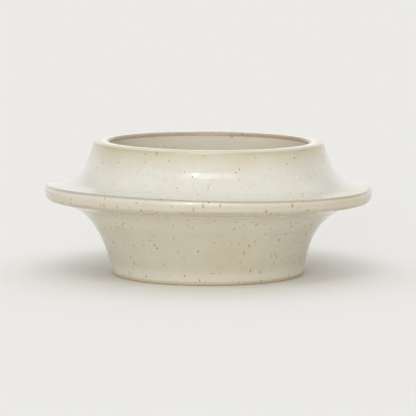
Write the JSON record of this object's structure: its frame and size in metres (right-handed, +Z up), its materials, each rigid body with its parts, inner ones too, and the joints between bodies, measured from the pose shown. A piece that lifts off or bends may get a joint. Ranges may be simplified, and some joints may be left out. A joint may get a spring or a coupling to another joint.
{
  "type": "bonsai pot",
  "caption": "Round stoneware bonsai pot with a flying flange round its waist, a narrower mouth and foot, and a drilled floor; holds soil and a small tree, and drains through a clipped screen.",
  "frame": {"origin": "centre of the foot ring, on the plane the pot stands on", "axes": "+Z up along the pot's axis; X runs through the two legs of the drain clip"},
  "size_m": [0.2, 0.2, 0.0812],
  "materials": {
    "stoneware": "bare fired stoneware, matt, iron-speckled",
    "cream_glaze": "gloss cream glaze with iron specks, tan where it breaks over edges",
    "net_plastic": "moulded polyethylene net",
    "clip_wire": "brown anodised bonsai wire"
  },
  "bodies": {
    "pot": {"lower_bowl": "stoneware", "upper_collar": "stoneware", "glaze": "cream_glaze"},
    "screen": {"drain_screen": "net_plastic"},
    "clip": {"screen_clip": "clip_wire"}
  },
  "joints": [
    {"name": "screen_lift", "type": "slide", "parent": "pot", "child": "screen", "axis": [0, 0, 1], "range_m": [0, 0.1]},
    {"name": "clip_lift", "type": "slide", "parent": "screen", "child": "clip", "axis": [0, 0, 1], "range_m": [0, 0.03]}
  ]
}
